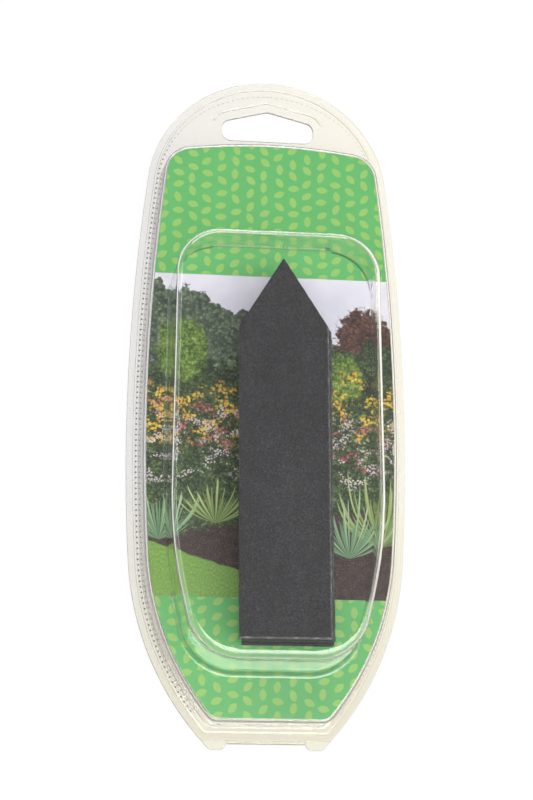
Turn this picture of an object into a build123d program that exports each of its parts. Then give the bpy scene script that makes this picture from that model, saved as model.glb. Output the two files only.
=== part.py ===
from build123d import *
import math
import os

# A hanging retail pack of pointed slate plant labels: a clear hinged clamshell,
# a card that fills its raised platform, and a loose stack of labels in its bubble.
# The pack lies on its back. X runs across it, Y runs up to the hang slot, Z is its front.
# The origin is on the table, under the middle of the pack's length and width.
# All sizes are in millimetres and all draft angles in degrees.
# Drops are measured down from the head, rises up from the fold, and insets in from the side.

# Clear sheet and the outline of the two shells
sheet = 0.5
shell_length = 238.0
pack_width = 98.0
widest_rise = 104.0
head_inset = 5.7
knee_rise = 60.0
knee_inset = 1.5
foot_corner = 2.5

# Fold at the foot, and the two ears of the rear shell beside it
fold_width = 27.0
fold_leg = 0.7
fold_sheet = 0.3
fold_end_gap = 0.3
ear_width = 8.5
ear_reach = 3.0
ear_corner = 2.2

# Flange with its stiffening bead
flange_width = 4.0
bead_inset = 2.2
bead_width = 0.9
bead_height = 0.3

# Hang slot, a flat-footed delta, with a rib that follows its upper edges
slot_drop = 22.8
slot_width = 33.4
slot_end_height = 7.3
slot_apex_height = 11.6
slot_corner = 3.4
slot_apex_corner = 4.0
rib_gap = 3.0
rib_width = 0.9
rib_height = 0.4

# Raised platform that frames the card
platform_height = 12.5
platform_draft = 5.6
platform_head_drop = 27.4
platform_arch = 205.0
platform_corner = 11.0
platform_foot_corner = 6.0
platform_edge = 1.2

# Deep bubble over the labels, sized at its base on the platform
bubble_draft = 1.5
bubble_foot_draft = 5.5
bubble_foot_rise = 21.1
bubble_knee_rise = 63.4
bubble_head_width = 70.2
bubble_knee_width = 72.8
bubble_foot_width = 54.2
bubble_head_corner = 15.5
bubble_knee_corner = 150.0
bubble_foot_corner = 18.0
bubble_edge = 3.0

# Printed card and the panel of the rear shell that holds it forward
card_thickness = 0.4
card_gap = 0.1
card_side_gap = 0.5
nest_gap = 0.5
panel_bevel = 0.8

# Pointed slate labels, numbered from the front one down to the card
label_length = 130.0
label_width = 30.5
label_point = 24.5
label_thickness = 3.9
label_gap = 0.2
label_bevel = 0.4
label_foot_gap = 9.1
label_head_gap = 9.8
label_front_gap = 2.6
label_places = [
    {"across": 2.6, "up": 0.0, "lean": 0.4},
    {"across": 3.9, "up": -0.3, "lean": 0.3},
    {"across": 4.8, "up": 0.3, "lean": 0.5},
    {"across": 4.9, "up": -0.4, "lean": 0.0},
    {"across": 5.6, "up": 0.2, "lean": 0.2},
]

# Levels that follow from the sizes above
head_y = (shell_length + ear_reach) / 2
fold_y = head_y - shell_length
ear_y = fold_y - ear_reach
widest_y = fold_y + widest_rise
head_radius = pack_width / 2 - head_inset
seam_z = sheet
flange_z = seam_z + sheet
platform_z = flange_z + platform_height
platform_inner_z = platform_z - sheet
card_z = platform_inner_z - card_gap
panel_z = card_z - card_thickness
label_step = label_thickness + label_gap
stack_z = card_z + label_step * len(label_places)
bubble_z = stack_z + label_front_gap + sheet
bubble_foot_y = fold_y + bubble_foot_rise
label_foot_y = bubble_foot_y + label_foot_gap
bubble_head_y = label_foot_y + label_length + label_head_gap


def upper_side_arc():
    """Centre and radius of the arc that runs up each side, tangent to the round head."""
    half = pack_width / 2
    rise = head_y - head_radius - widest_y
    radius = (half**2 + rise**2 - head_radius**2) / (2 * head_inset)
    return Vector(half - radius, widest_y), radius


def flank(top, foot):
    """Right side of a shell, from a point on its upper side down to a foot line."""
    widest = Vector(pack_width / 2, widest_y)
    knee = Vector(widest.X - knee_inset, fold_y + knee_rise)
    toe = Vector(fold_width / 2 + ear_width, fold_y)
    upper_side = TangentArc(widest, top, tangent=(0, 1))
    lower_side = TangentArc(widest, knee, tangent=(0, -1))
    toe_arc = TangentArc(knee, toe, tangent=lower_side % 1)
    centre = toe_arc.arc_center
    toe_end_x = centre.X + math.sqrt(toe_arc.radius**2 - (foot - centre.Y) ** 2)
    foot_side = TangentArc(knee, (toe_end_x, foot), tangent=lower_side % 1)
    return [upper_side, lower_side, foot_side]


def closed_outline(head_edge, right_side):
    """Face between a head edge and a right side that is mirrored to the left."""
    right_curve = Curve() + right_side
    foot_end = right_side[-1] @ 1
    foot_edge = Line((-foot_end.X, foot_end.Y), foot_end)
    return make_face(Curve() + [head_edge, right_curve, mirror(right_curve, Plane.YZ), foot_edge])


def shell_outline(foot):
    """Outline of a shell with its round head, cut straight across at a foot line."""
    centre, _ = upper_side_arc()
    head_centre = Vector(0, head_y - head_radius)
    shoulder = head_centre + (head_centre - centre).normalized() * head_radius
    head_edge = ThreePointArc((-shoulder.X, shoulder.Y), (0, head_y), shoulder)
    return closed_outline(head_edge, flank(shoulder, foot))


def square_outline():
    """Outline with the sides of a shell run on up to a level head."""
    centre, radius = upper_side_arc()
    corner = Vector(centre.X + math.sqrt(radius**2 - (head_y - centre.Y) ** 2), head_y)
    head_edge = Line((-corner.X, head_y), corner)
    return closed_outline(head_edge, flank(corner, fold_y))


def lowest_corners(outline, count):
    """The corners of an outline that lie nearest to its foot."""
    return outline.vertices().sort_by(Axis.Y)[:count]


def front_outline():
    """Flange outline of the front shell, which ends at the fold."""
    outline = shell_outline(fold_y)
    return fillet(lowest_corners(outline, 2), foot_corner)


def rear_outline():
    """Flange outline of the rear shell, with an ear on each side of the fold."""
    notch = Pos(0, fold_y) * Rectangle(fold_width, 2 * ear_reach)
    above_fold = Pos(0, fold_y) * Rectangle(pack_width, shell_length, align=(Align.CENTER, Align.MIN))
    outline = shell_outline(ear_y) - (notch - above_fold)
    return fillet(lowest_corners(outline, 4), ear_corner)


def slot_outline():
    """Hang slot: a flat foot, upright ends and two edges that rise to an apex."""
    half = slot_width / 2
    foot = head_y - slot_drop
    corners = [
        (-half, foot),
        (half, foot),
        (half, foot + slot_end_height),
        (0, foot + slot_apex_height),
        (-half, foot + slot_end_height),
    ]
    outline = make_face(Polyline(*corners, close=True))
    apex = outline.vertices().sort_by(Axis.Y)[-1]
    rounded_sides = fillet([v for v in outline.vertices() if v != apex], slot_corner)
    return fillet(rounded_sides.vertices().sort_by(Axis.Y)[-1], slot_apex_corner)


def slot_rib_outline():
    """Band that follows the upper edges of the hang slot."""
    band = offset(slot_outline(), rib_gap + rib_width) - offset(slot_outline(), rib_gap)
    lowest = head_y - slot_drop + slot_end_height
    upper_half = Pos(0, lowest) * Rectangle(pack_width, slot_drop, align=(Align.CENTER, Align.MIN))
    return band & upper_half


def platform_outline(shrink):
    """Foot of the card platform, parallel to the shell's sides, arched at its head."""
    sides = offset(square_outline(), -(flange_width + shrink))
    arch_radius = platform_arch - shrink
    arch_y = head_y - platform_head_drop - shrink - arch_radius
    outline = sides & (Pos(0, arch_y) * Circle(arch_radius))
    outline = fillet(lowest_corners(outline, 2), platform_foot_corner - shrink)
    return fillet(outline.vertices().sort_by(Axis.Y)[-2:], platform_corner - shrink)


def drafted(outline, base_z, top_z, lean):
    """Solid that rises from an outline with its walls leaning in."""
    upright = Pos(0, 0, base_z) * extrude(outline, top_z - base_z)
    walls = upright.faces().filter_by(Axis.Z, reverse=True)
    return draft(walls, Plane.XY.offset(base_z), lean)


def top_edges(body):
    """Edges round the top face of a body."""
    return body.faces().sort_by(Axis.Z)[-1].edges()


def platform(shrink, base_z, top_z):
    """Solid card platform between two levels, sharp at its top."""
    return drafted(platform_outline(shrink), base_z, top_z, platform_draft)


def rounded_platform(shrink, base_z, top_z):
    """Card platform of the front shell, rounded more tightly where it is shrunk."""
    return fillet(top_edges(platform(shrink, base_z, top_z)), platform_edge - shrink)


def bubble_outline(shrink):
    """Base of the label bubble: square-shouldered head, tapering foot with sharp corners."""
    rows = [
        (bubble_foot_width, bubble_foot_y + shrink, 0),
        (bubble_knee_width, fold_y + bubble_knee_rise, bubble_knee_corner - shrink),
        (bubble_head_width, bubble_head_y - shrink, bubble_head_corner - shrink),
    ]
    right = [(width / 2 - shrink, y) for width, y, _ in rows]
    left = [(-x, y) for x, y in reversed(right)]
    outline = make_face(Polyline(*right, *left, close=True))
    for _, y, radius in rows[1:]:
        pair = [v for v in outline.vertices() if abs(v.Y - y) < sheet]
        outline = fillet(pair, radius)
    return outline


def bubble(shrink, base_z, top_z):
    """Solid label bubble whose foot wall leans in more than its other walls, sharp at its top."""
    base = Plane.XY.offset(base_z)
    body = Pos(0, 0, base_z) * extrude(bubble_outline(shrink), top_z - base_z)
    walls = body.faces().filter_by(Axis.Z, reverse=True).sort_by(Axis.Y)
    body = draft(walls[1:], base, bubble_draft)
    body = draft(body.faces().sort_by(Axis.Y)[0], base, bubble_foot_draft)
    foot_wall = body.faces().filter_by(Axis.Z, reverse=True).sort_by(Axis.Y)[0]
    return fillet(foot_wall.edges().sort_by(Axis.X)[0::3], bubble_foot_corner - shrink)


def rounded_bubble(shrink, base_z, top_z):
    """Solid label bubble, rounded more tightly where it is shrunk."""
    return fillet(top_edges(bubble(shrink, base_z, top_z)), bubble_edge - shrink)


def raised_band(outline, base_z, height):
    """Flat band that stands on a level face."""
    return Pos(0, 0, base_z) * extrude(outline, height)


def front_shell():
    """Lid of the clamshell: flange, card platform and label bubble in one sheet."""
    flange = Pos(0, 0, seam_z) * extrude(front_outline(), sheet)
    bead_outer = offset(front_outline(), -bead_inset)
    bead_inner = offset(front_outline(), -(bead_inset + bead_width))
    outer = flange + rounded_platform(0, flange_z, platform_z)
    outer += rounded_bubble(0, platform_z, bubble_z)
    outer += raised_band(bead_outer - bead_inner, flange_z, bead_height)
    outer += raised_band(slot_rib_outline(), flange_z, rib_height)
    outer -= rounded_platform(sheet, seam_z, platform_inner_z)
    outer -= rounded_bubble(sheet, platform_inner_z, bubble_z - sheet)
    return outer - Pos(0, 0, seam_z) * extrude(slot_outline(), sheet)


def rear_shell():
    """Tray of the clamshell: flange, ears and the panel that presses the card forward."""
    shrink = sheet + nest_gap
    panel = platform(shrink, seam_z, panel_z)
    hollow = platform(shrink + sheet, 0, panel_z - sheet)
    even_wall_bevel = panel_bevel - sheet * (2 - math.sqrt(2))
    outer = extrude(rear_outline(), sheet) + chamfer(top_edges(panel), panel_bevel)
    outer -= chamfer(top_edges(hollow), even_wall_bevel)
    return outer - extrude(slot_outline(), sheet)


def fold_hinge():
    """Thin strip that runs round the fold from one flange to the other."""
    outer_round = Pos(-fold_leg, seam_z) * Circle(sheet)
    outer_legs = Pos(0, seam_z) * Rectangle(fold_leg, 2 * sheet, align=(Align.MAX, Align.CENTER))
    inner_radius = sheet - fold_sheet
    inner_round = Pos(-fold_leg, seam_z) * Circle(inner_radius)
    inner_legs = Pos(0, seam_z) * Rectangle(fold_leg, 2 * inner_radius, align=(Align.MAX, Align.CENTER))
    section = (outer_round + outer_legs) - (inner_round + inner_legs)
    beyond_fold = Pos(0, seam_z) * Rectangle(2 * fold_leg, 2 * sheet, align=(Align.MIN, Align.CENTER))
    strip_length = fold_width - 2 * fold_end_gap
    strip_plane = Plane(origin=(-strip_length / 2, fold_y, 0), x_dir=(0, 1, 0), z_dir=(1, 0, 0))
    return extrude(strip_plane * (section - beyond_fold), strip_length)


def insert_card():
    """Flat card, cut to the platform's outline, on the rear shell's panel."""
    wall_lean = (card_z - seam_z) * math.tan(math.radians(platform_draft))
    outline = platform_outline(sheet + wall_lean + card_side_gap)
    return Pos(0, 0, panel_z) * extrude(outline, card_thickness)


def slate_label():
    """One pointed label, with its foot on the X axis and its back at height zero."""
    half = label_width / 2
    shoulder = label_length - label_point
    corners = [(-half, 0), (half, 0), (half, shoulder), (0, label_length), (-half, shoulder)]
    blank = extrude(make_face(Polyline(*corners, close=True)), label_thickness)
    front = blank.faces().sort_by(Axis.Z)[-1]
    back = blank.faces().sort_by(Axis.Z)[0]
    return chamfer(front.edges() + back.edges(), label_bevel)


pieces = {
    "front_shell": front_shell(),
    "rear_shell": rear_shell(),
    "fold_hinge": fold_hinge(),
    "insert_card": insert_card(),
}
for number, place in enumerate(label_places, start=1):
    back_z = stack_z - label_step * number + label_gap
    seat = Pos(place["across"], label_foot_y + place["up"], back_z) * Rot(0, 0, place["lean"])
    pieces[f"slate_label_{number}"] = seat * slate_label()

os.makedirs("parts", exist_ok=True)
for name, piece in pieces.items():
    export_step(piece, f"parts/{name}.step")
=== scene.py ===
"""Looks of a hanging pack of slate plant labels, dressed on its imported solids.

Everything is in metres, in the frame of the solids: the pack lies on its back, +Y runs up to the
hang slot and +Z is its front. Sizes in the property groups can be changed in the sidebar.
"""

import math

import bmesh
import bpy
from bpy.props import FloatProperty, FloatVectorProperty, PointerProperty
from mathutils import Matrix, Vector, geometry, noise


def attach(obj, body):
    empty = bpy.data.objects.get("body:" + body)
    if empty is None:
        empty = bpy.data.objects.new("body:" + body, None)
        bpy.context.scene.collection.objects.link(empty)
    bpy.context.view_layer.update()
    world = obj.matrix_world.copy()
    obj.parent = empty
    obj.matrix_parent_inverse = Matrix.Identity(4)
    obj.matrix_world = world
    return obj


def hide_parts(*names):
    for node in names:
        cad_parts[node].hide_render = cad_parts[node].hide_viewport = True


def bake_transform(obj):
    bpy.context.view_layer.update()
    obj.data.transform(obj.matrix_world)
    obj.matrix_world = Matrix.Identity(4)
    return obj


bl_info = {
    "name": "Plant label pack",
    "version": (1, 0, 0),
    "blender": (4, 5, 0),
    "location": "3D View > Sidebar > Label pack",
    "description": "Dresses a clear hanging pack of pointed slate plant labels",
    "category": "Object",
}

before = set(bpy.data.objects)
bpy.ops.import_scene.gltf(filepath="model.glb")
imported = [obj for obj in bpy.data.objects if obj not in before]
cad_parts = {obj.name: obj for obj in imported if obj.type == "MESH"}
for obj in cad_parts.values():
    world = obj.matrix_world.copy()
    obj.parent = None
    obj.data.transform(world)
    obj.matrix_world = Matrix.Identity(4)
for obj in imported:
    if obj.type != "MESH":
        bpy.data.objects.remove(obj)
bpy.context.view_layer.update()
MM = 0.001

# Heights on the front shell in millimetres, each with the softness of its border.
FLANGE_HEAD = (1.42, 0.06)
WALL_FOOT, WALL_HEAD = (2.2, 1.0), (11.8, 0.8)
CREST_FOOT, CREST_HEAD = (11.4, 0.6), (12.75, 0.15)
ROOT_FOOT, ROOT_HEAD = (13.46, 0.03), (15.2, 0.5)
CROWN_FOOT = (31.0, 1.2)

# Places along the pack in millimetres: the lower rim of the hang slot, and where the weld dots turn pale
# toward the head.
SILL_FOOT, SILL_HEAD = (70, 10), (98.5, 1.0)
PALE_DOTS_HEAD = (92, 12)

# How far a face of the sheet leans (0 is level, 1 is upright), and how far it looks toward the head.
EDGE_LEAN, ROOT_LEAN, CROWN_LEAN = (0.12, 0.1), (0.02, 0.015), (0.02, 0.02)
HEAD_FACING, FOOT_FACING = (0.4, 0.2), (-0.12, 0.1)

# Width in metres over which painted shade goes from its left to its right colour.
SIDE_SHADE_SPAN = 0.1

# Two faces share a smooth normal if the cosine between them is larger than this.
SMOOTH_COSINE = 0.86
# Upright part of a normal: above the first a face is level, and below the second it is a wall.
LEVEL_FACE, WALL_FACE = 0.99, 0.3

# Camera of the photograph: turns in degrees about X, Y and Z, the point it looks at and its place in
# its own axes in millimetres.
CAMERA_TURNS = (-14.739, 7.15, -0.152)
CAMERA_AIM = (0, 0.7, 1.0)
CAMERA_SHIFT = (0.107, -0.2, -710.3)


def paint(red, green, blue):
    """Linear colour of a paint given in screen values from 0 to 255."""
    def linear(value):
        value /= 255
        return value / 12.92 if value <= 0.04045 else ((value + 0.055) / 1.055) ** 2.4

    return linear(red), linear(green), linear(blue)


def size_prop(name, default, description):
    """A length in metres that is written here in millimetres."""
    return FloatProperty(
        name=name, description=description, default=default * MM, unit="LENGTH", precision=5
    )


def share_prop(name, default, description):
    """A number from 0 to 1."""
    return FloatProperty(name=name, description=description, default=default, min=0, max=1)


def colour_prop(name, default, description):
    """A colour that is written here in screen values."""
    return FloatVectorProperty(
        name=name, description=description, default=paint(*default), subtype="COLOR", min=0, max=1
    )


class Wire:
    """A socket of a node tree that takes part in Python expressions."""

    def __init__(self, maker, socket):
        self.maker = maker
        self.socket = socket

    def sibling(self, out):
        """Another output of the same node."""
        return Wire(self.maker, self.socket.node.outputs[out])

    def math(self, operation, *values):
        return self.maker.node("ShaderNodeMath", {"operation": operation}, dict(enumerate(values)))

    def __add__(self, other):
        return self.math("ADD", self, other)

    def __sub__(self, other):
        return self.math("SUBTRACT", self, other)

    def __rsub__(self, other):
        return self.math("SUBTRACT", other, self)

    def __mul__(self, other):
        return self.math("MULTIPLY", self, other)

    def __truediv__(self, other):
        return self.math("DIVIDE", self, other)

    def __pow__(self, other):
        return self.math("POWER", self, other)

    def __abs__(self):
        return self.math("ABSOLUTE", self)

    __radd__ = __add__
    __rmul__ = __mul__

    def floor(self):
        return self.math("FLOOR", self)

    def fraction(self):
        return self.math("FRACT", self)

    def root(self):
        return self.math("SQRT", self)

    def least(self, other):
        return self.math("MINIMUM", self, other)

    def most(self, other):
        return self.math("MAXIMUM", self, other)

    def above(self, edge, soft):
        """1 where the value is above an edge and 0 below it, with a soft step between."""
        sockets = {"Value": self, "From Min": edge - soft, "From Max": edge + soft}
        return self.maker.node("ShaderNodeMapRange", {"interpolation_type": "SMOOTHSTEP"}, sockets)

    def below(self, edge, soft):
        return 1 - self.above(edge, soft)

    def between(self, low, high):
        """1 between two borders, each given as its place and its softness."""
        return self.above(*low) * self.below(*high)

    def clamped(self):
        """The value, held between 0 and 1."""
        return self.least(1.0).most(0.0)


class Nodes:
    """A node tree under construction. Every node of it comes from node()."""

    def __init__(self, tree):
        self.tree = tree

    def node(self, kind, settings=None, sockets=None, out=0):
        """Make one node: its settings are set first, then the values or links of its sockets."""
        made = self.tree.nodes.new(kind)
        for key, value in (settings or {}).items():
            if key == "stops":
                self.set_stops(made.color_ramp.elements, value)
            else:
                setattr(made, key, value)
        for key, value in (sockets or {}).items():
            socket = made.inputs[key]
            if isinstance(value, Wire):
                self.tree.links.new(value.socket, socket)
            elif socket.type == "RGBA":
                socket.default_value = (*value[:3], 1)
            else:
                socket.default_value = value
        return Wire(self, made.outputs[out]) if made.outputs else None

    def set_stops(self, elements, stops):
        """Give a ramp its stops, each as a position and a colour."""
        while len(elements) < len(stops):
            elements.new(1)
        for element, (position, colour) in zip(elements, stops):
            element.position = position
            element.color = (*colour, 1)


class Finish(Nodes):
    """The nodes of a material or a world."""

    def __init__(self, owner):
        owner.use_nodes = True
        super().__init__(owner.node_tree)
        self.owner = owner
        self.tree.nodes.clear()
        self.place = self.node("ShaderNodeTexCoord", out="Object")

    def axes(self, vector=None):
        """The three numbers of a vector."""
        x = self.node("ShaderNodeSeparateXYZ", sockets={0: vector or self.place})
        return x, x.sibling(1), x.sibling(2)

    def vector(self, x, y, z=0.0):
        return self.node("ShaderNodeCombineXYZ", sockets={0: x, 1: y, 2: z})

    def noise(self, scale, detail=3.0, rough=0.55, vector=None):
        """Cloudy numbers about 0.5."""
        sockets = {"Vector": vector or self.place, "Scale": scale, "Detail": detail, "Roughness": rough}
        return self.node("ShaderNodeTexNoise", sockets=sockets)

    def cells(self, scale, vector):
        """Distance to the nearest seed of scattered flat cells, and a random number for each cell."""
        settings = {"voronoi_dimensions": "2D"}
        away = self.node("ShaderNodeTexVoronoi", settings, {"Vector": vector, "Scale": scale})
        return away, self.node("ShaderNodeSeparateColor", sockets={0: away.sibling("Color")})

    def ramp(self, value, *stops):
        """A colour picked by a value."""
        return self.node("ShaderNodeValToRGB", {"stops": stops}, {0: value})

    def mix(self, share, first, second):
        """Colour that goes from the first to the second."""
        settings = {"data_type": "RGBA"}
        return self.node("ShaderNodeMix", settings, {0: share, 6: first, 7: second}, out=2)

    def bump(self, height, distance, strength=1.0):
        sockets = {"Height": height, "Distance": distance, "Strength": strength}
        return self.node("ShaderNodeBump", sockets=sockets)

    def surface(self, shader, kind="ShaderNodeOutputMaterial"):
        """Send a shader to the surface."""
        self.node(kind, sockets={"Surface": shader})
        return self.owner

    def principled(self, **sockets):
        """The main shader, with its sockets named in lower case."""
        named = {key.replace("_", " ").title(): value for key, value in sockets.items()}
        named = {key.replace("Ior", "IOR"): value for key, value in named.items()}
        return self.node("ShaderNodeBsdfPrincipled", sockets=named)


class ShellSettings(bpy.types.PropertyGroup):
    """Clear thermoformed sheet of the clamshell."""

    tint: colour_prop("Tint", (253, 252, 250), "Colour of the clear sheet")
    rough: share_prop("Roughness", 0.03, "Roughness of the sheet")
    seam: size_prop("Seam", 0.5, "Height of the seam between the two flanges")
    hair: size_prop("Hair gap", 0.04, "Gap that keeps two clear faces from lying in one plane")
    gauge: size_prop("Gauge", 0.5, "Thickness of the sheet")
    bubble_root: size_prop("Bubble root", 1.6, "Bend between the platform and the bubble")
    platform: size_prop("Platform", 13.5, "Height of the platform's front face")
    bead: size_prop("Bead", 0.3, "Height of the bead on the flange")
    rib: size_prop("Rib", 0.4, "Height of the rib over the hang slot")
    rim: size_prop("Rim", 0.22, "Rounding of the cut rims of the flange and the slot")
    haze: share_prop("Haze", 0.12, "Added roughness of the platform's wall")
    crest_haze: share_prop("Crest haze", 0.35, "Added roughness of the platform's crest")
    root_haze: share_prop("Root haze", 0.16, "Added roughness of the bubble's root")
    crown_haze: share_prop("Crown haze", 0.24, "Added roughness of the bubble's crest at its foot")
    # Painted shade: a darker tint in the bubble's root.
    root_shade: colour_prop("Root shade", (202, 211, 205), "Colour of the bubble's root")
    # Painted shade on the flange's cut edges: grey at the left, paler cream at the right.
    edge_shade_left: colour_prop("Left edges", (140, 141, 143), "Colour of the flange's edges at the left")
    edge_shade_right: colour_prop("Right edges", (200, 193, 160), "Colour of the flange's edges at the right")
    # Painted shade: a dark line on the lower rim of the hang slot.
    slot_rim_shade: colour_prop("Slot edge", (30, 32, 34), "Colour of the lower rim of the hang slot")


class WeldSettings(bpy.types.PropertyGroup):
    """Line of weld dots round the flange."""

    # Painted shade and light: the dots' dark colour at the left and pale colour at the right; the pale one
    # also goes toward the head.
    colour: colour_prop("Colour", (50, 51, 52), "Colour of the dots at the left")
    pale: colour_prop("Pale colour", (226, 222, 214), "Colour of the dots where the weld is clear")
    pitch: size_prop("Pitch", 1.9, "Distance between two dots")
    width: size_prop("Width", 0.6, "Width of a dot")
    height: size_prop("Height", 0.1, "Height of a dot above the flange")
    side_inset: size_prop("Side inset", 3.4, "Distance from the side of the flange")
    head_inset: size_prop("Head inset", 5.4, "Distance from the head of the flange")
    level: size_prop("Level", 1.0, "Height of the flange's front face")
    foot: size_prop("Foot", -108, "Place of the line's ends along the pack")


class SlateSettings(bpy.types.PropertyGroup):
    """Split slate of the labels."""

    face: colour_prop("Face", (46, 47, 51), "Colour of the split face")
    # Pale colour of chipped slate, also used as painted highlight on the edges at the foot and the right.
    chipped: colour_prop("Chipped edge", (170, 170, 170), "Colour of freshly chipped edges")
    length: size_prop("Length", 130, "Length of a label")
    width: size_prop("Width", 30.5, "Width of a label")
    point: size_prop("Point", 24.5, "Length of the pointed head")
    thickness: size_prop("Thickness", 3.9, "Thickness of a label")
    grid: size_prop("Grid", 0.9, "Spacing of the grid that carries the split face")
    relief: size_prop("Relief", 0.1, "Depth of the split face")
    chip: size_prop("Chip", 0.3, "Depth of the chips along the edges")


class CardSettings(bpy.types.PropertyGroup):
    """Printed card behind the labels."""

    header: colour_prop("Header green", (99, 188, 110), "Ground colour of the header and the foot")
    leaf: colour_prop("Leaf green", (152, 200, 108), "Colour of the printed leaves")
    board: colour_prop("Board", (228, 225, 216), "Colour of the unprinted board")
    picture_head: size_prop("Picture head", 42.2, "Height of the picture's upper edge above the middle")
    picture_foot: size_prop("Picture foot", -71.1, "Height of the picture's lower edge above the middle")


class StageSettings(bpy.types.PropertyGroup):
    """Floor, light and camera."""

    floor: colour_prop("Floor", (255, 255, 255), "Colour of the floor")
    # Painted shade and light: colours the floor glows with in the clear sheet, set by place.
    painted_seen_left: colour_prop("Left floor", (236, 237, 240), "Floor in the clear sheet at the left")
    painted_seen_right: colour_prop("Right floor", (255, 253, 241), "Floor in the clear sheet at the right")
    painted_seen_foot: colour_prop("Foot floor", (234, 231, 211), "Floor in the clear sheet at the foot")
    painted_seen_far: colour_prop("Far floor", (190, 189, 186), "Floor in the clear sheet far away")
    world: share_prop("World", 0.2, "Strength of the even light overhead")
    horizon: share_prop("Horizon", 0.8, "Strength of the even light at the horizon")
    lens: FloatProperty(
        name="Lens", description="Focal length of the camera in millimetres", default=91.175
    )


def copy_mesh(node, name):
    """A copy of a solid's mesh for a new piece."""
    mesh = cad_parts[node].data.copy()
    mesh.name = name
    return mesh


def add_piece(name, mesh, material, body, *nodes):
    """Link a finished mesh as an object that rides on a body and stands for some solids."""
    piece = bpy.data.objects.new(name, mesh)
    bpy.context.scene.collection.objects.link(piece)
    mesh.materials.clear()
    mesh.materials.append(material)
    if body:
        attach(piece, body)
    for node in nodes:
        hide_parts(node)
    return piece


def clear_finish(settings):
    """Clear glossy sheet that lets lamp light through, with painted shade on its edges and in its root,
    hazy at its bends.
    """
    finish = Finish(bpy.data.materials.new("clear_sheet_finish"))
    x, y, z = finish.axes()
    height = z / MM
    _, headward, upright = finish.axes(finish.place.sibling("Normal"))
    lean = 1 - abs(upright)
    wall = height.between(WALL_FOOT, WALL_HEAD)
    crest = height.between(CREST_FOOT, CREST_HEAD)
    root = height.between(ROOT_FOOT, ROOT_HEAD) * lean.above(*ROOT_LEAN)
    crown = height.above(*CROWN_FOOT) * lean.above(*CROWN_LEAN) * headward.below(*FOOT_FACING)
    # The lower rim of the hang slot gets a dark painted shade.
    shaded_slot_rim = (y / MM).between(SILL_FOOT, SILL_HEAD) * headward.above(*HEAD_FACING)
    # Painted shade on the flange's cut edges, going from the left colour to the right one.
    rim = lean.above(*EDGE_LEAN) * height.below(*FLANGE_HEAD)
    side = finish.mix((x / SIDE_SHADE_SPAN + 0.5).clamped(), settings.edge_shade_left, settings.edge_shade_right)
    edge = finish.mix(shaded_slot_rim, side, settings.slot_rim_shade)
    # The bubble's root is tinted darker as painted shade.
    sheet = finish.mix(root, settings.tint, settings.root_shade)
    wave = finish.noise(1.0, 2, 0.5, finish.vector(x * 70, y * 70, z * 420))
    mottle = finish.noise(1300, 2)
    ripple = finish.bump(wave + wall * mottle * 0.3, 0.2 * MM, 0.16)
    clear = finish.principled(
        base_color=finish.mix(rim, sheet, edge),
        roughness=(
            settings.rough
            + wall * settings.haze
            + crest * settings.crest_haze
            + root * settings.root_haze
            + crown * settings.crown_haze
        ),
        ior=1.5,
        transmission_weight=1.0,
        normal=ripple,
    )
    let_through = finish.node("ShaderNodeBsdfTransparent", sockets={"Color": settings.tint})
    shadow = finish.node("ShaderNodeLightPath", out="Is Shadow Ray")
    diffuse = shadow.sibling("Is Diffuse Ray")
    return finish.surface(
        finish.node("ShaderNodeMixShader", sockets={0: shadow.most(diffuse), 1: clear, 2: let_through})
    )


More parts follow.
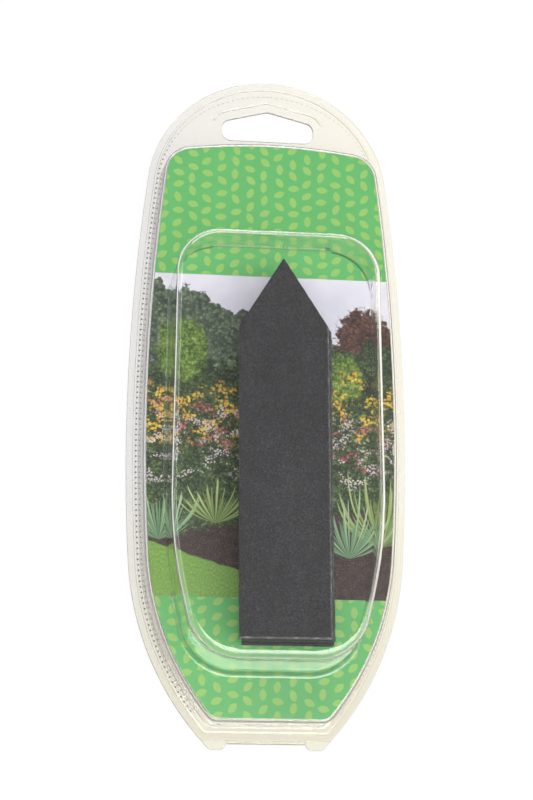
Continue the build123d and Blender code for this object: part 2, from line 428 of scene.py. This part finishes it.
class PACK_OT_shells(bpy.types.Operator):
    """Make the two shells and the fold of clear sheet"""

    bl_idname = "label_pack.shells"
    bl_label = "Clear shells"

    def execute(self, context):
        settings = context.scene.pack_shells
        material = clear_finish(settings)
        for node, body, lift, bends in (
            ("front_shell", "lid", settings.hair, self.front_bends(settings)),
            ("rear_shell", "tray", -settings.hair, self.rear_bends(settings)),
        ):
            mesh = self.sheet(node, lift, bends, settings)
            add_piece(f"{node}_sheet", mesh, material, body, node)
        self.fold(settings, material)
        return {"FINISHED"}

    def sheet(self, node, lift, bends, settings):
        """Mesh of one shell, with its seam face moved a hair away from the other shell."""
        mesh = copy_mesh(node, f"{node}_sheet")
        slack = settings.hair / 4
        self.bend(mesh, bends, slack)
        for vertex in mesh.vertices:
            if abs(vertex.co.z - settings.seam) < slack:
                vertex.co.z += lift
        self.smooth(mesh)
        return mesh

    def front_bends(self, settings):
        """Bends of the front shell, each as its height, how far its wall falls, and its size."""
        flange = settings.seam + settings.gauge
        bubble_rise = -10 * MM
        inner_root = settings.bubble_root + settings.gauge * 0.8
        rounded = 0.9
        return [
            (settings.platform, bubble_rise, settings.bubble_root),
            (settings.platform - settings.gauge, bubble_rise, inner_root),
            (flange + settings.bead, settings.bead, settings.bead * rounded),
            (flange + settings.rib, settings.rib, settings.rib * rounded),
            (flange, settings.gauge, settings.rim),
        ]

    def rear_bends(self, settings):
        """Bends of the rear shell: the cut rims of its flange and slot."""
        return [(settings.seam, settings.gauge, settings.rim)]

    def bend(self, mesh, bends, slack):
        """Round the bends of a sheet."""
        shape = bmesh.new()
        shape.from_mesh(mesh)
        bmesh.ops.remove_doubles(shape, verts=shape.verts, dist=1e-6)
        for level, drop, size in bends:
            bmesh.ops.bevel(
                shape,
                geom=[edge for edge in shape.edges if self.is_bend(edge, level, drop, slack)],
                offset=size,
                offset_type="OFFSET",
                segments=4,
                profile=0.5,
                affect="EDGES",
                loop_slide=False,
            )
        shape.to_mesh(mesh)
        shape.free()

    def smooth(self, mesh):
        """Set normals that are smooth over the bends and true on the large flat faces."""
        faces = [(face.normal.copy(), face.area, list(face.vertices)) for face in mesh.polygons]
        around = [[] for vertex in mesh.vertices]
        for normal, area, corners in faces:
            for corner in corners:
                around[corner].append((normal, area))
        normals = []
        for normal, area, corners in faces:
            for corner in corners:
                smooth = [row for row in around[corner] if row[0].dot(normal) > SMOOTH_COSINE]
                total = sum((other * size for other, size in smooth), normal * 1e-12)
                normals.append(total.normalized())
        mesh.shade_smooth()
        mesh.normals_split_custom_set(normals)

    def is_bend(self, edge, level, drop, slack):
        """Whether an edge joins a level face to a wall that falls by a drop, or rises if it is negative."""
        if len(edge.link_faces) != 2 or any(abs(end.co.z - level) > slack for end in edge.verts):
            return False
        flat, steep = sorted(edge.link_faces, key=lambda face: -abs(face.normal.z))
        if abs(flat.normal.z) < LEVEL_FACE or abs(steep.normal.z) > WALL_FACE:
            return False
        falls = max((level - corner.co.z for corner in steep.verts), key=abs)
        return falls < drop if drop < 0 else abs(falls - drop) < slack

    def fold(self, settings, material):
        """The strip round the fold."""
        mesh = copy_mesh("fold_hinge", "fold_strip")
        flange_y = max(vertex.co.y for vertex in mesh.vertices)
        slack = settings.hair / 4
        for vertex in mesh.vertices:
            if flange_y - vertex.co.y < slack:
                vertex.co.y -= settings.hair
        strip = add_piece("fold_strip", mesh, material, None, "fold_hinge")
        # The bend runs from inside the tray's flange to inside the lid's.
        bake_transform(strip)


def weld_line(settings):
    """Points of the weld line, from the right of the fold over the head to the left of the fold."""
    rim = [vertex.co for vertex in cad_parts["front_shell"].data.vertices]
    rim = [rim[index].xy for index in geometry.convex_hull_2d([corner.xy for corner in rim])]
    line = []
    for before, here, after in zip(rim[-1:] + rim[:-1], rim, rim[1:] + rim[:1]):
        way = (after - before).normalized()
        outward = Vector((way.y, -way.x))
        extra = settings.head_inset - settings.side_inset
        inset = settings.side_inset + extra * max(0, outward.y) ** 2
        line.append(here - inset * outward)
    line = [point for point in line if point.y > settings.foot]
    pairs = zip(line[-1:] + line[:-1], line)
    starts = [before.x < 0 < here.x and here.y < 0 for before, here in pairs]
    first = starts.index(True)
    return line[first:] + line[:first]


def weld_tree(material):
    """Geometry nodes that set flat dots at even steps along a line."""
    tree = bpy.data.node_groups.new("weld_dots", "GeometryNodeTree")
    tree.interface.new_socket("Line", in_out="INPUT", socket_type="NodeSocketGeometry")
    for name in ("Pitch", "Width", "Height"):
        tree.interface.new_socket(name, in_out="INPUT", socket_type="NodeSocketFloat")
    tree.interface.new_socket("Dots", in_out="OUTPUT", socket_type="NodeSocketGeometry")
    nodes = Nodes(tree)
    line = nodes.node("NodeGroupInput", out="Line")
    pitch, width, height = [line.sibling(name) for name in ("Pitch", "Width", "Height")]
    along = {"Curve": line, "Length": pitch}
    steps = nodes.node("GeometryNodeResampleCurve", {"mode": "LENGTH"}, along)
    ball = nodes.node("GeometryNodeMeshUVSphere", sockets={"Segments": 8, "Rings": 4, "Radius": 0.5})
    size = nodes.node("ShaderNodeCombineXYZ", sockets={0: width, 1: width, 2: height})
    parts = {"Points": steps, "Instance": ball, "Scale": size}
    dots = nodes.node("GeometryNodeInstanceOnPoints", sockets=parts)
    real = nodes.node("GeometryNodeRealizeInstances", sockets={0: dots})
    done = nodes.node("GeometryNodeSetMaterial", sockets={"Geometry": real, "Material": material})
    nodes.node("NodeGroupOutput", sockets={0: done})
    return tree


def weld_finish(settings):
    """Pressed dots, painted dark at the left and pale at the right as shade and light, pale also toward the
    head.
    """
    finish = Finish(bpy.data.materials.new("weld_dot_finish"))
    x, y, _ = [value / MM for value in finish.axes()]
    cloud = finish.noise(2500, 2)
    # Painted shade and light: the dots go from dark at the left to pale at the right.
    rightward = (x / 45 + 0.75).least(1.0)
    headward = y.above(*PALE_DOTS_HEAD) * 0.85
    grey = finish.mix(rightward.most(headward), settings.colour, settings.pale)
    grey = finish.mix(cloud * 0.4, grey, paint(90, 90, 90))
    return finish.surface(finish.principled(base_color=grey, roughness=0.35))


class PACK_OT_weld(bpy.types.Operator):
    """Press the line of weld dots into the flange"""

    bl_idname = "label_pack.weld"
    bl_label = "Weld dots"

    def execute(self, context):
        settings = context.scene.pack_weld
        material = weld_finish(settings)
        curve = bpy.data.curves.new("weld_line", "CURVE")
        curve.dimensions = "3D"
        points = weld_line(settings)
        spline = curve.splines.new("POLY")
        spline.points.add(len(points) - 1)
        for target, point in zip(spline.points, points):
            target.co = (point.x, point.y, settings.level, 1)
        line = bpy.data.objects.new("weld_line", curve)
        context.scene.collection.objects.link(line)
        tree = weld_tree(material)
        press = line.modifiers.new("dots", "NODES")
        press.node_group = tree
        sizes = {"Pitch": settings.pitch, "Width": settings.width, "Height": 2 * settings.height}
        for socket in tree.interface.items_tree:
            if socket.name in sizes:
                press[socket.identifier] = sizes[socket.name]
        ready = line.evaluated_get(context.evaluated_depsgraph_get())
        mesh = bpy.data.meshes.new_from_object(ready)
        bpy.data.objects.remove(line)
        add_piece("weld_dots", mesh, material, "lid")
        return {"FINISHED"}


def card_finish(settings, front_level):
    """Printed front, plain board at the back and on the edges."""
    finish = Finish(bpy.data.materials.new("printed_card_finish"))
    x, y, z = [value / MM for value in finish.axes()]
    print_colour = finish.mix(
        card_band(y, settings), leaf_print(finish, x, y, settings), garden_picture(finish, x, y)
    )
    fibre = finish.noise(900, 3, 0.6)
    board = finish.mix(fibre.above(0.55, 0.2), settings.board, paint(206, 201, 190))
    print_depth = 0.04
    front = z.above(front_level / MM - print_depth, 0.01)
    grain = finish.noise(1400, 2)
    return finish.surface(
        finish.principled(
            base_color=finish.mix(front, board, print_colour),
            roughness=0.62 - 0.2 * front,
            normal=finish.bump(grain, 0.02 * MM, 0.5),
        )
    )


def card_band(y, settings):
    """1 inside the picture and 0 on the leaf print over and under it."""
    soft = 0.06
    return y.above(settings.picture_foot / MM, soft) * y.below(settings.picture_head / MM, soft)


def leaf_shape(along, across, length, width):
    """1 inside a leaf that is pointed at both ends."""
    half, wide = length / 2, width / 2
    arc = (half * half + wide * wide) / (2 * wide)
    reach = (along * along + (abs(across) + (arc - wide)) ** 2).root()
    return reach.below(arc, 0.07)


def leaf_print(finish, x, y, settings):
    """Green ground with scattered pointed leaves, each turned its own way."""
    wide, tall = 5.1, 4.7
    leaf_length, leaf_width, jog, full_turn = 4.1, 2.4, 0.7, 6.28
    column = (x / wide).floor()
    slide = y + (column * 0.5).fraction() * tall
    row = (slide / tall).floor()
    cell = finish.vector(column, row)
    seed = finish.node("ShaderNodeTexWhiteNoise", {"noise_dimensions": "2D"}, {"Vector": cell})
    jog_x, jog_y, _ = finish.axes(seed.sibling("Color"))
    turn = seed * full_turn
    cosine, sine = turn.math("COSINE", turn), turn.math("SINE", turn)
    side = x - (column + 0.5) * wide + (jog_x - 0.5) * jog
    rise = slide - (row + 0.5) * tall + (jog_y - 0.5) * jog
    along, across = rise * cosine - side * sine, side * cosine + rise * sine
    leaf = leaf_shape(along, across, leaf_length, leaf_width)
    tone = finish.mix(finish.noise(60, 2), settings.header, paint(92, 180, 104))
    return finish.mix(leaf * 0.9, tone, settings.leaf)


class Garden:
    """A picture that is painted in layers, in millimetres from the middle of the pack."""

    def __init__(self, finish, x, y):
        self.finish = finish
        self.x = x
        self.y = y
        self.plane = finish.vector(x, y)
        self.sway = finish.noise(0.08, 3, 0.6, self.plane) - 0.5
        self.ruffle = finish.noise(0.45, 4, 0.65, self.plane) - 0.5
        self.grit = finish.noise(2.2, 3, 0.6, self.plane) - 0.5
        self.mass = finish.noise(0.17, 3, 0.5, self.plane)
        cloud = finish.noise(0.05, 4, 0.6, self.plane)
        self.picture = self.paints(cloud * 1.6 - 0.35, (214, 218, 240), (236, 236, 252), (252, 250, 255))

    def paints(self, value, *colours):
        """Paints at even steps, picked by a value."""
        last = len(colours) - 1
        stops = [(step / last, paint(*colour)) for step, colour in enumerate(colours)]
        return self.finish.ramp(value, *stops)

    def leaves(self, scale, *colours):
        """Foliage, from its darkest paint to its palest."""
        near, tone = self.finish.cells(scale, self.plane)
        light = tone * 0.5 + self.mass * 0.7 + self.ruffle * 0.8 + self.grit * 0.8 - near * 0.4 - 0.05
        return self.paints(light, *colours)

    def cover(self, share, colour):
        """Paint over a share of the picture."""
        self.picture = self.finish.mix(share, self.picture, colour)

    def layer(self, level, swing, slope, colour):
        """Cover everything below a ruffled line."""
        rise = self.y + self.sway * swing + self.ruffle * 6 + self.grit * 1.5 + self.x * slope
        self.cover(rise.below(level, 0.4), colour)

    def clump(self, middle_x, middle_y, wide, tall, colour):
        """Cover a round clump with a ruffled border."""
        reach = (((self.x - middle_x) / wide) ** 2 + ((self.y - middle_y) / tall) ** 2).root()
        ruffled = reach + self.ruffle * 0.9 + self.sway * 0.6 + self.grit * 0.35
        self.cover(ruffled.below(1.0, 0.05), colour)

    def drift(self, scale, size, top, foot, share, *colours):
        """Scatter blooms in patches between two levels."""
        near, tone = self.finish.cells(scale, self.plane)
        level = self.y + self.sway * 22 + self.x * (share - 0.55) * 4
        spread = self.finish.vector(self.x + scale * 90, self.y * 1.6)
        patch = self.finish.noise(0.13, 3, 0.6, spread) + self.ruffle * 0.5
        planted = level.below(top, 2) * level.above(foot, 2) * patch.above(share, 0.04)
        petal = (near + self.grit * 0.35).below(size, 0.06)
        self.cover(petal * planted, self.paints(tone, *colours))

    def tuft(self, middle_x, middle_y, tall, *colours):
        """Fan out narrow blades from a point."""
        side, rise = self.x - middle_x, self.y - middle_y
        reach = (side * side + rise * rise).root()
        fan = side.math("ARCTAN2", side, rise) + side * reach * 0.0012
        blade = self.finish.noise(1.0, 1, 0.5, self.finish.vector(fan * 9, middle_x))
        uneven = self.finish.noise(1.0, 1, 0.5, self.finish.vector(fan * 6, middle_y))
        part = reach / ((uneven * 1.3 + 0.25) * tall)
        inside = (blade - part * part * 0.2).above(0.43, 0.02) * part.below(1.0, 0.05)
        inside = abs(fan).below(1.3, 0.1) * inside
        shade = blade * 2.4 - 0.75 + part * 0.25 + self.grit * 0.3
        self.cover(inside, self.paints(shade, *colours))

    def ground(self):
        """Lay the soil, and the lawn in front of it."""
        crumbs = self.grit * 2.6 + self.ruffle + 0.45
        soil = self.paints(crumbs, (18, 13, 13), (52, 38, 36), (112, 90, 84))
        self.layer(-45, 10, -0.12, soil)
        grass = self.finish.noise(2.0, 4, 0.7, self.finish.vector(self.x, self.y * 0.6)) * 1.6 - 0.3
        lawn = self.paints(grass, (70, 116, 40), (116, 164, 70), (166, 200, 112))
        self.cover((self.y + self.sway * 4 + self.x * 0.3).below(-65, 0.3), lawn)


def garden_picture(finish, x, y):
    """A planted border, from the sky at the back to the tufts in front."""
    garden = Garden(finish, x, y)
    far = garden.leaves(0.9, (34, 46, 42), (66, 82, 68), (108, 124, 100), (160, 170, 144))
    copper = garden.leaves(1.2, (30, 20, 20), (66, 42, 38), (104, 70, 60), (148, 112, 96))
    dark = garden.leaves(1.3, (12, 20, 16), (34, 50, 32), (74, 96, 56), (134, 150, 98))
    lime = garden.leaves(1.1, (40, 62, 24), (86, 118, 44), (132, 160, 74), (184, 200, 124))
    low = garden.leaves(1.5, (14, 26, 18), (40, 62, 36), (88, 112, 62), (150, 166, 110))
    garden.layer(27, 24, 0.3, far)
    garden.clump(33, 18, 11, 13, copper)
    garden.layer(14, 20, -0.12, dark)
    garden.clump(-31, 15, 9, 12, lime)
    garden.clump(24, 6, 8, 9, lime)
    garden.layer(0, 14, 0.08, low)
    garden.drift(0.9, 0.46, 4, -16, 0.53, (206, 168, 44), (236, 208, 84), (218, 150, 58))
    garden.drift(1.0, 0.4, -4, -22, 0.58, (178, 56, 76), (214, 120, 140), (140, 44, 60))
    garden.drift(1.2, 0.38, -8, -30, 0.55, (232, 230, 228), (186, 172, 204), (236, 222, 190))
    garden.ground()
    teal = ((20, 44, 36), (66, 110, 84), (124, 164, 126), (180, 206, 164))
    sage = ((26, 44, 20), (78, 108, 50), (138, 164, 92), (196, 210, 150))
    garden.tuft(-38, -52, 21, *teal)
    garden.tuft(-19, -46, 17, *sage)
    garden.tuft(38, -53, 27, *sage)
    garden.tuft(27, -57, 22, *teal)
    return garden.picture


class PACK_OT_card(bpy.types.Operator):
    """Print the card"""

    bl_idname = "label_pack.card"
    bl_label = "Printed card"

    def execute(self, context):
        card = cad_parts["insert_card"]
        front_level = max(vertex.co.z for vertex in card.data.vertices)
        card.data.materials.clear()
        card.data.materials.append(card_finish(context.scene.pack_card, front_level))
        return {"FINISHED"}


def slate_finish(settings):
    """Split slate: fine grain, faint streaks and paler chipped edges, with painted highlight on some of
    them.
    """
    finish = Finish(bpy.data.materials.new("slate_finish"))
    x, y, z = finish.axes()
    grain = finish.noise(1700, 4, 0.75)
    streak = finish.noise(260, 4, 0.6, finish.vector(x, y * 0.25, z))
    cloud = finish.noise(45, 3)
    tone = grain * 1.05 + streak * 0.1 + cloud * 0.16 - 0.155
    stone = finish.ramp(
        tone,
        (0.32, paint(28, 29, 32)),
        (0.5, settings.face),
        (0.68, paint(74, 75, 79)),
        (0.85, paint(104, 105, 108)),
    )
    chipped = finish.node("ShaderNodeAttribute", {"attribute_name": "chipped"}, out="Fac")
    rim = chipped * (grain * 1.6 - 0.1)
    return finish.surface(
        finish.principled(
            base_color=finish.mix(rim.clamped(), stone, settings.chipped),
            roughness=0.65 + grain * 0.3,
            specular_ior_level=0.25,
            normal=finish.bump(grain * 0.85 + streak * 0.15, 0.15 * MM, 0.6),
        )
    )


class PACK_OT_labels(bpy.types.Operator):
    """Split the slate labels"""

    bl_idname = "label_pack.labels"
    bl_label = "Slate labels"

    def execute(self, context):
        settings = context.scene.pack_slate
        material = slate_finish(settings)
        for number in range(1, 6):
            node = f"slate_label_{number}"
            mesh = self.split(node, number, settings)
            add_piece(f"{node}_split", mesh, material, node, node)
        return {"FINISHED"}

    def split(self, node, number, settings):
        """A label with a riven face and chipped edges, cut from its solid."""
        shape = bmesh.new()
        shape.from_mesh(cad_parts[node].data)
        bmesh.ops.remove_doubles(shape, verts=shape.verts, dist=1e-6)
        flat, sharp = math.radians(2), math.radians(32)
        bmesh.ops.dissolve_limit(shape, angle_limit=flat, verts=shape.verts, edges=shape.edges)
        foot, across, along = self.lie(shape)
        base = min(vertex.co.z for vertex in shape.verts)
        front_share = 0.6
        grid = settings.grid * (front_share if number == 1 else 1)
        self.cut(shape, foot - across * settings.width / 2, across, settings.width, grid)
        self.cut(shape, foot, along, settings.length, grid)
        chipped = shape.verts.layers.float.new("chipped")
        for vertex in shape.verts:
            away = vertex.co - foot
            place = away.dot(across), away.dot(along), vertex.co.z - base
            vertex[chipped] = self.carve(vertex, place, (across, along), number, settings)
        mesh = bpy.data.meshes.new(f"{node}_split")
        shape.to_mesh(mesh)
        shape.free()
        mesh.shade_smooth()
        mesh.set_sharp_from_angle(angle=sharp)
        return mesh

    def lie(self, shape):
        """How a label lies: the middle of its foot, its way across and its way along."""
        corners = [vertex.co.copy() for vertex in shape.verts]
        # The corners of the foot lie lowest when the label is tipped to the left and to the right.
        tip = 0.3
        left = min(corners, key=lambda place: place.y + tip * place.x)
        right = min(corners, key=lambda place: place.y - tip * place.x)
        across = (right - left).normalized()
        return (left + right) / 2, across, Vector((-across.y, across.x, 0))

    def cut(self, shape, start, way, length, grid):
        """Cut a label at even steps along a way."""
        for step in range(1, int(length / grid)):
            parts = shape.verts[:] + shape.edges[:] + shape.faces[:]
            bmesh.ops.bisect_plane(shape, geom=parts, plane_co=start + way * grid * step, plane_no=way)

    def carve(self, vertex, place, ways, number, settings):
        """Sink one corner of the grid for the riven face or a chip; gives how pale its edge is, chip and
        painted highlight.
        """
        u, v, w = place
        insets = self.insets(u, v, settings)
        spot = Vector((u / MM * 0.9, v / MM * 0.9, number * 7 + w / MM * 0.4))
        bite = max(0, noise.noise(spot) + 0.1) * max(0, 1 - min(insets) / (2.5 * settings.chip))
        inward = self.inward(u, insets, settings)
        vertex.co += (ways[0] * inward.x + ways[1] * inward.y) * bite * settings.chip
        sink = self.riven(u, v, number, settings)
        if w > settings.thickness * 0.98:
            vertex.co.z -= sink + bite * settings.chip * 0.5
        elif w < settings.thickness * 0.02:
            vertex.co.z += sink
        patchy = 0.55 + 1.2 * max(0, noise.noise(spot * 0.5))
        return patchy * self.pale_chip_and_highlight(place, insets, number, settings)

    def insets(self, u, v, settings):
        """Distances of a place from the foot, the nearer side and the pointed head of a label."""
        half = settings.width / 2
        side = half - abs(u)
        shoulder = settings.length - settings.point
        head = (settings.point * side + half * (shoulder - v)) / math.hypot(settings.point, half)
        return v, side, head

    def inward(self, u, insets, settings):
        """Way in from the nearest edge, across and along a label."""
        _, side, head = insets
        if min(insets) == head:
            half = settings.width / 2
            return Vector((-math.copysign(settings.point, u), -half)) / math.hypot(settings.point, half)
        if min(insets) == side:
            return Vector((-math.copysign(1, u), 0))
        return Vector((0, 1))

    def riven(self, u, v, number, settings):
        """Depth of the split face: broad treads with a fine ripple on them."""
        treads = 5
        tread = noise.noise(Vector((u / MM * 0.1, v / MM * 0.045, number * 3.7))) * treads / 2 + treads / 2
        broad = (math.floor(tread) + min(1, 4 * (tread % 1))) / treads
        fine = 0.5 + 0.5 * noise.noise(Vector((u / MM * 0.5, v / MM * 0.3, number * 5.1)))
        return settings.relief * (0.6 * broad + 0.4 * fine)

    def pale_chip_and_highlight(self, place, insets, number, settings):
        """How pale an edge is, chip and painted highlight: most at the foot and the right side, and on the
        front label.
        """
        u, _, w = place
        foot, side, _ = insets
        nearest = min(insets)
        # Painted highlight: the foot and the right side face the key light; the labels under the front one
        # get less.
        edge = 0.75 if u > 0 and nearest == side else 0.9 if nearest == foot else 0.25
        upper = 1.0 if w > settings.thickness * 0.8 else 0.15
        upper *= 1.0 if number == 1 else 0.6 if number == 2 and nearest < foot else 0.1
        return edge * upper * max(0, 1 - nearest / (1.6 * settings.chip))


class PACK_OT_stage(bpy.types.Operator):
    """Lay the floor, set the lights and aim the camera"""

    bl_idname = "label_pack.stage"
    bl_label = "Stage"

    def execute(self, context):
        settings = context.scene.pack_stage
        scene = context.scene
        scene.view_settings.view_transform = "Standard"
        self.floor(settings)
        self.world(scene, settings)
        self.lights()
        self.camera(scene, settings)
        return {"FINISHED"}

    def floor(self, settings):
        """Large white floor just under the pack."""
        half, level = 1.5, -0.1 * MM
        mesh = bpy.data.meshes.new("floor")
        corners = [(x * half, y * half, level) for x, y in ((-1, -1), (1, -1), (1, 1), (-1, 1))]
        mesh.from_pydata(corners, [], [(0, 1, 2, 3)])
        mesh.materials.append(self.floor_finish(settings))
        floor = bpy.data.objects.new("floor", mesh)
        bpy.context.scene.collection.objects.link(floor)

    def floor_finish(self, settings):
        """White that keeps the shadow; in the clear sheet it glows with painted shade and light set by
        place, darker far away.
        """
        finish = Finish(bpy.data.materials.new("floor_finish"))
        x, y, _ = finish.axes()
        fade = (x * x + y * y).root().above(0.28, 0.14)
        across = (x / SIDE_SHADE_SPAN + 0.5).clamped()
        footward = (y / -0.09 - 0.3).clamped()
        near = finish.mix(across, settings.painted_seen_left, settings.painted_seen_right)
        low = finish.mix(footward, near, settings.painted_seen_foot)
        painted_seen = finish.mix(fade, low, settings.painted_seen_far)
        matte = finish.principled(base_color=settings.floor, roughness=0.9)
        camera = finish.node("ShaderNodeLightPath", out="Is Camera Ray")
        gloss, through = camera.sibling("Is Glossy Ray"), camera.sibling("Is Transmission Ray")
        colour = finish.mix(camera, painted_seen, settings.floor)
        # Painted shade: reflections of the floor are dimmer, most at the left.
        reflection_shade = gloss * (1 - through) * (0.42 - across * 0.22)
        strength = 1.0 + through * 0.2 - reflection_shade
        shine = finish.node("ShaderNodeEmission", sockets={"Color": colour, "Strength": strength})
        share = (camera * (0.9 + fade * 0.1)).most(through.most(gloss) * 0.75)
        return finish.surface(
            finish.node("ShaderNodeMixShader", sockets={0: share, 1: matte, 2: shine})
        )

    def world(self, scene, settings):
        """Even light, brighter toward the horizon than overhead, and white where the camera sees it."""
        scene.world = scene.world or bpy.data.worlds.new("studio")
        finish = Finish(scene.world)
        _, _, rise = finish.axes(finish.place.sibling("Generated"))
        sockets = {
            "Value": rise,
            "From Min": 0.2,
            "From Max": 0.75,
            "To Min": settings.horizon,
            "To Max": settings.world,
        }
        camera = finish.node("ShaderNodeLightPath", out="Is Camera Ray")
        strength = finish.node("ShaderNodeMapRange", sockets=sockets).most(camera)
        sockets = {"Color": settings.floor, "Strength": strength}
        even = finish.node("ShaderNodeBackground", sockets=sockets)
        finish.surface(even, "ShaderNodeOutputWorld")

    def lights(self):
        """A large softbox over the foot, its twin that shows in the gloss alone, and three low ones."""
        low_box = (0.9, 0.3)
        key_box = (1.36, 0.88)
        rows = [
            ("key_box", (0.32, -0.56, 1.0), key_box, 10.5, False, True),
            ("key_gloss", (0.32, -0.56, 1.01), key_box, 14.0, False, False),
            ("left_box", (-1.0, 0.1, 0.6), low_box, 2.0, True, True),
            ("right_box", (1.0, 0.1, 0.5), low_box, 2.5, True, True),
            ("head_box", (-0.1, 1.0, 0.6), low_box, 6.0, True, True),
        ]
        for name, place, size, power, aimed, diffuse in rows:
            lamp = bpy.data.lights.new(name, "AREA")
            lamp.shape = "RECTANGLE"
            lamp.size, lamp.size_y = size
            lamp.energy = power
            light = bpy.data.objects.new(name, lamp)
            light.location = place
            if aimed:
                light.rotation_euler = (-Vector(place)).to_track_quat("-Z", "Y").to_euler()
            light.visible_diffuse = diffuse
            bpy.context.scene.collection.objects.link(light)

    def camera(self, scene, settings):
        """Aim the camera as the photograph was taken."""
        about_x, about_y, about_z = [
            Matrix.Rotation(math.radians(angle), 3, axis) for angle, axis in zip(CAMERA_TURNS, "XYZ")
        ]
        turn = (about_z @ about_x @ about_y).transposed()
        place = Vector(CAMERA_AIM) * MM - turn @ (Vector(CAMERA_SHIFT) * MM)
        camera = bpy.data.objects.new("camera", bpy.data.cameras.new("camera"))
        scene.collection.objects.link(camera)
        camera.matrix_world = Matrix.Translation(place) @ turn.to_4x4()
        camera.data.lens = settings.lens
        camera.data.clip_start = 0.01
        scene.camera = camera


class PACK_PT_sidebar(bpy.types.Panel):
    """Sizes and colours of the pack"""

    bl_label = "Label pack"
    bl_idname = "PACK_PT_sidebar"
    bl_space_type = "VIEW_3D"
    bl_region_type = "UI"
    bl_category = "Label pack"

    def draw(self, context):
        for (name, group), step in zip(GROUPS.items(), STEPS):
            box = self.layout.box()
            for setting in group.__annotations__:
                box.prop(getattr(context.scene, name), setting)
            box.operator(step.bl_idname)


GROUPS = {
    "pack_shells": ShellSettings,
    "pack_weld": WeldSettings,
    "pack_card": CardSettings,
    "pack_slate": SlateSettings,
    "pack_stage": StageSettings,
}
STEPS = (PACK_OT_shells, PACK_OT_weld, PACK_OT_card, PACK_OT_labels, PACK_OT_stage)


def register():
    for cls in (*GROUPS.values(), *STEPS, PACK_PT_sidebar):
        bpy.utils.register_class(cls)
    for name, group in GROUPS.items():
        setattr(bpy.types.Scene, name, PointerProperty(type=group))


def unregister():
    for name in GROUPS:
        delattr(bpy.types.Scene, name)
    for cls in (PACK_PT_sidebar, *reversed(STEPS), *reversed(GROUPS.values())):
        bpy.utils.unregister_class(cls)


def main():
    register()
    bpy.ops.label_pack.shells()
    bpy.ops.label_pack.weld()
    bpy.ops.label_pack.card()
    bpy.ops.label_pack.labels()
    bpy.ops.label_pack.stage()


if __name__ == "__main__":
    main()
